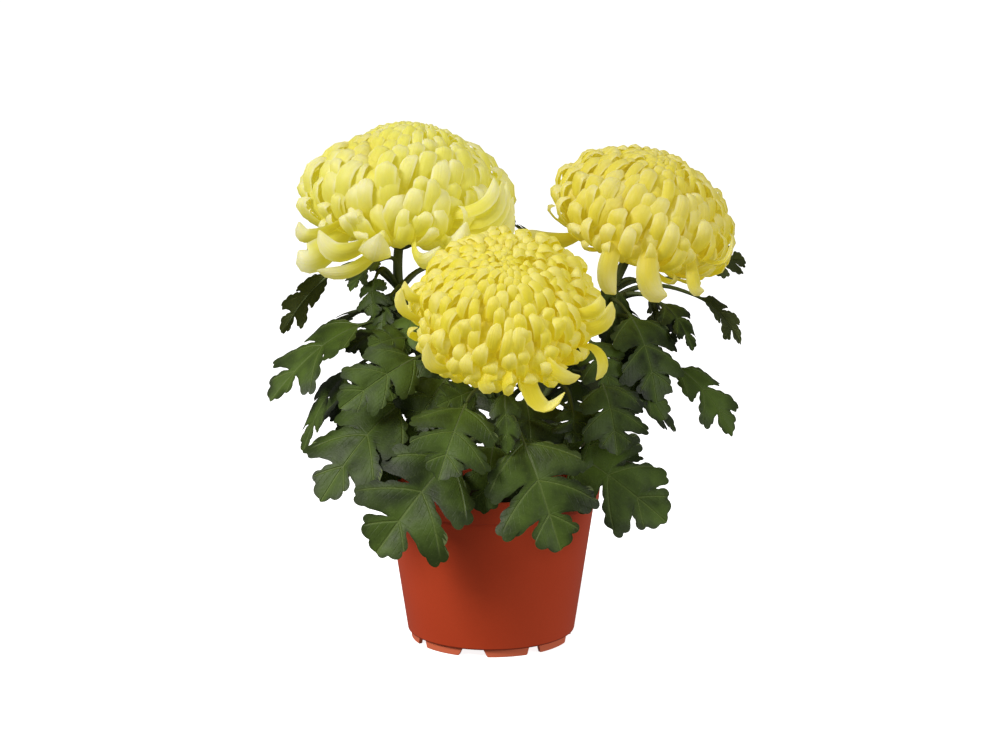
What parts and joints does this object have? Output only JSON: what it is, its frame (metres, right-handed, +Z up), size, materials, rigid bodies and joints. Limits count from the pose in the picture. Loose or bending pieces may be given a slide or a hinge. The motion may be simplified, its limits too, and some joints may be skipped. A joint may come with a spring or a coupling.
{
  "type": "pot chrysanthemum",
  "caption": "Flowering pot plant: large incurved yellow blooms on leafy stems with lobed leaves, standing in a round tapered plastic pot with a notched foot ring.",
  "frame": {"origin": "On the floor under the middle of the whole plant's spread, which lies 14 mm to the right of the pot's own axis and 4 mm in front of it.", "axes": "+Z up along the pot's axis. -Y is the plant's front, where its lowest bloom faces. +X is to the right seen from the front."},
  "size_m": [0.3065, 0.2439, 0.3283],
  "materials": {
    "terracotta_plastic": "satin terracotta-coloured plastic",
    "potting_soil": "damp crumbly peat soil",
    "foliage": "matte veined leaf",
    "petals": "soft satin petal"
  },
  "bodies": {
    "root": {"pot": "terracotta_plastic", "potting_soil": "potting_soil", "stem_left": "foliage", "stem_right": "foliage", "stem_front": "foliage", "bloom_left": "petals", "bloom_right": "petals", "bloom_front": "petals"}
  },
  "joints": []
}
